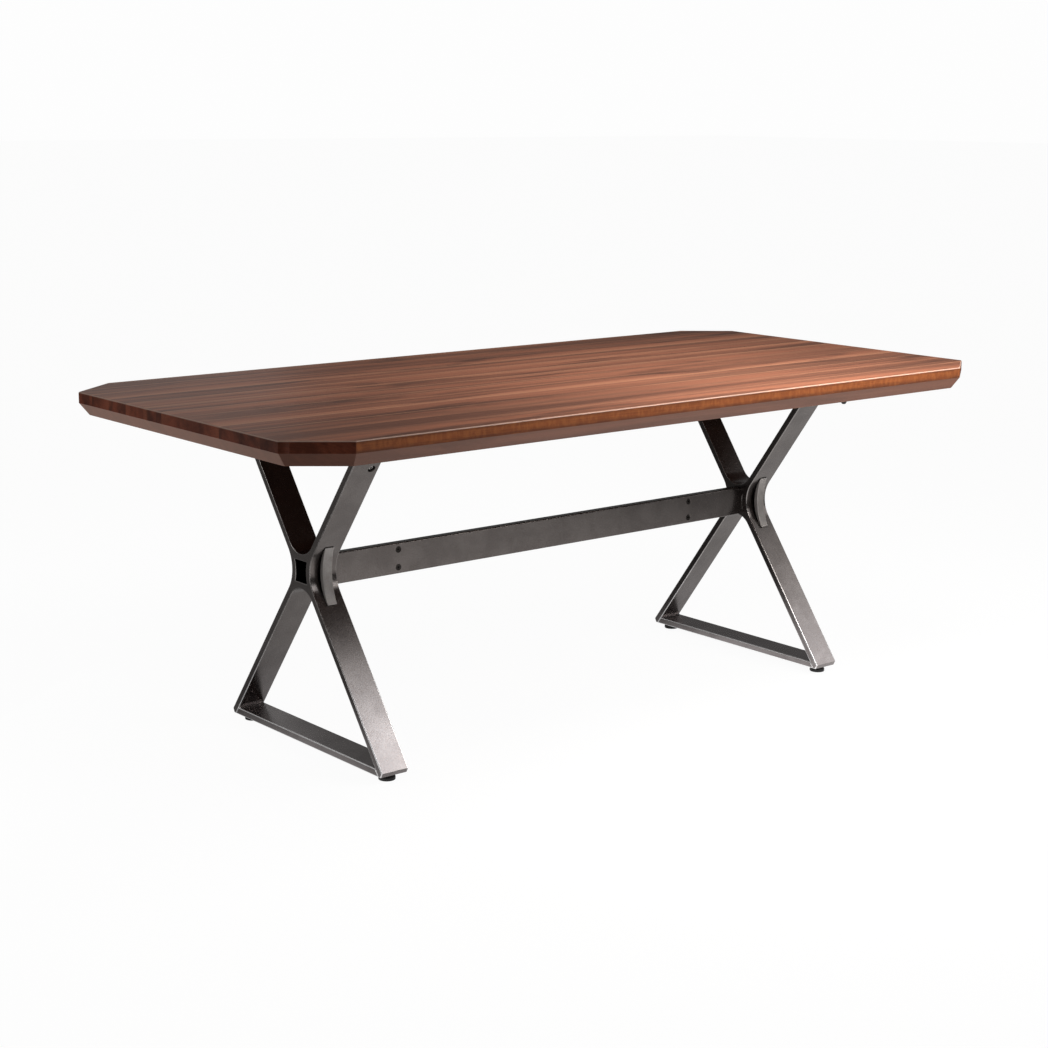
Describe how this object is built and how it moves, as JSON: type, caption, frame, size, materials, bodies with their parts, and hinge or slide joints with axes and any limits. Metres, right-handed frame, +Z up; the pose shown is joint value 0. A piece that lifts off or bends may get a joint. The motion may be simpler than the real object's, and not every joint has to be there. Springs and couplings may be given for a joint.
{
  "type": "trestle dining table",
  "caption": "Long dining table: edge-glued walnut top with clipped corners and an under-bevel, on two bent-bar steel X trestles joined by a stretcher, with levelling feet.",
  "frame": {"origin": "on the floor, under the middle of the top", "axes": "+X along the top's length, +Y across it towards the far long side, +Z up"},
  "size_m": [1.974, 0.965, 0.762],
  "materials": {
    "walnut": "edge-glued walnut staves, planed flat, satin lacquer over red-brown heartwood with darker streaks",
    "patinated_steel": "dark gunmetal patina on hot-rolled flat bar, clear waxed, worn lighter along the arrises",
    "strap_steel": "the same patina, rougher and lighter",
    "fixing_steel": "black oxide socket screws",
    "bracket_steel": "black painted steel, out of sight under the top and inside the stretcher",
    "zinc_screw": "bright zinc plate",
    "black_nylon": "moulded black nylon, matt"
  },
  "bodies": {
    "table": {"top_stave_01": "walnut", "top_stave_02": "walnut", "top_stave_03": "walnut", "top_stave_04": "walnut", "top_stave_05": "walnut", "top_stave_06": "walnut", "top_stave_07": "walnut", "top_stave_08": "walnut", "top_stave_09": "walnut", "top_stave_10": "walnut", "top_stave_11": "walnut", "top_stave_12": "walnut", "top_stave_13": "walnut", "underside_button": "black_nylon", "left_near_side_bar": "patinated_steel", "left_near_waist_strap": "strap_steel", "left_near_arm_bolt": "fixing_steel", "left_far_side_bar": "patinated_steel", "left_far_waist_strap": "strap_steel", "left_floor_bar": "patinated_steel", "left_upper_waist_web": "patinated_steel", "left_lower_waist_web": "patinated_steel", "left_waist_back_plate": "patinated_steel", "left_top_saddle_plate": "bracket_steel", "left_wood_screw_1": "zinc_screw", "left_wood_screw_2": "zinc_screw", "left_wood_screw_3": "zinc_screw", "left_wood_screw_4": "zinc_screw", "right_near_side_bar": "patinated_steel", "right_near_waist_strap": "strap_steel", "right_far_side_bar": "patinated_steel", "right_far_waist_strap": "strap_steel", "right_far_arm_bolt": "fixing_steel", "right_floor_bar": "patinated_steel", "right_upper_waist_web": "patinated_steel", "right_lower_waist_web": "patinated_steel", "right_waist_back_plate": "patinated_steel", "right_top_saddle_plate": "bracket_steel", "right_wood_screw_1": "zinc_screw", "right_wood_screw_2": "zinc_screw", "right_wood_screw_3": "zinc_screw", "right_wood_screw_4": "zinc_screw", "stretcher_tube": "patinated_steel", "left_stretcher_tongue": "bracket_steel", "left_lower_stretcher_screw": "fixing_steel", "left_upper_stretcher_screw": "fixing_steel", "right_stretcher_tongue": "bracket_steel", "right_lower_stretcher_screw": "fixing_steel", "right_upper_stretcher_screw": "fixing_steel"},
    "left_near_foot": {"left_near_foot_pad": "black_nylon"},
    "left_near_stud": {"left_near_foot_stud": "zinc_screw"},
    "left_far_foot": {"left_far_foot_pad": "black_nylon"},
    "left_far_stud": {"left_far_foot_stud": "zinc_screw"},
    "right_near_foot": {"right_near_foot_pad": "black_nylon"},
    "right_near_stud": {"right_near_foot_stud": "zinc_screw"},
    "right_far_foot": {"right_far_foot_pad": "black_nylon"},
    "right_far_stud": {"right_far_foot_stud": "zinc_screw"}
  },
  "joints": [
    {"name": "left_near_foot_height", "type": "slide", "parent": "table", "child": "left_near_foot", "axis": [0, 0, -1], "range_m": [0, 0.008]},
    {"name": "left_near_stud_turn", "type": "hinge", "parent": "left_near_foot", "child": "left_near_stud", "pos_m": [-0.653, -0.262, 0.01], "axis": [0, 0, -1], "range_deg": [0, 2304]},
    {"name": "left_far_foot_height", "type": "slide", "parent": "table", "child": "left_far_foot", "axis": [0, 0, -1], "range_m": [0, 0.008]},
    {"name": "left_far_stud_turn", "type": "hinge", "parent": "left_far_foot", "child": "left_far_stud", "pos_m": [-0.653, 0.262, 0.01], "axis": [0, 0, -1], "range_deg": [0, 2304]},
    {"name": "right_near_foot_height", "type": "slide", "parent": "table", "child": "right_near_foot", "axis": [0, 0, -1], "range_m": [0, 0.008]},
    {"name": "right_near_stud_turn", "type": "hinge", "parent": "right_near_foot", "child": "right_near_stud", "pos_m": [0.653, -0.262, 0.01], "axis": [0, 0, -1], "range_deg": [0, 2304]},
    {"name": "right_far_foot_height", "type": "slide", "parent": "table", "child": "right_far_foot", "axis": [0, 0, -1], "range_m": [0, 0.008]},
    {"name": "right_far_stud_turn", "type": "hinge", "parent": "right_far_foot", "child": "right_far_stud", "pos_m": [0.653, 0.262, 0.01], "axis": [0, 0, -1], "range_deg": [0, 2304]}
  ],
  "couplings": [
    {"joint": "left_near_stud_turn", "follows": "left_near_foot_height", "rad_per_m": 5026.5},
    {"joint": "left_far_stud_turn", "follows": "left_far_foot_height", "rad_per_m": 5026.5},
    {"joint": "right_near_stud_turn", "follows": "right_near_foot_height", "rad_per_m": 5026.5},
    {"joint": "right_far_stud_turn", "follows": "right_far_foot_height", "rad_per_m": 5026.5}
  ]
}
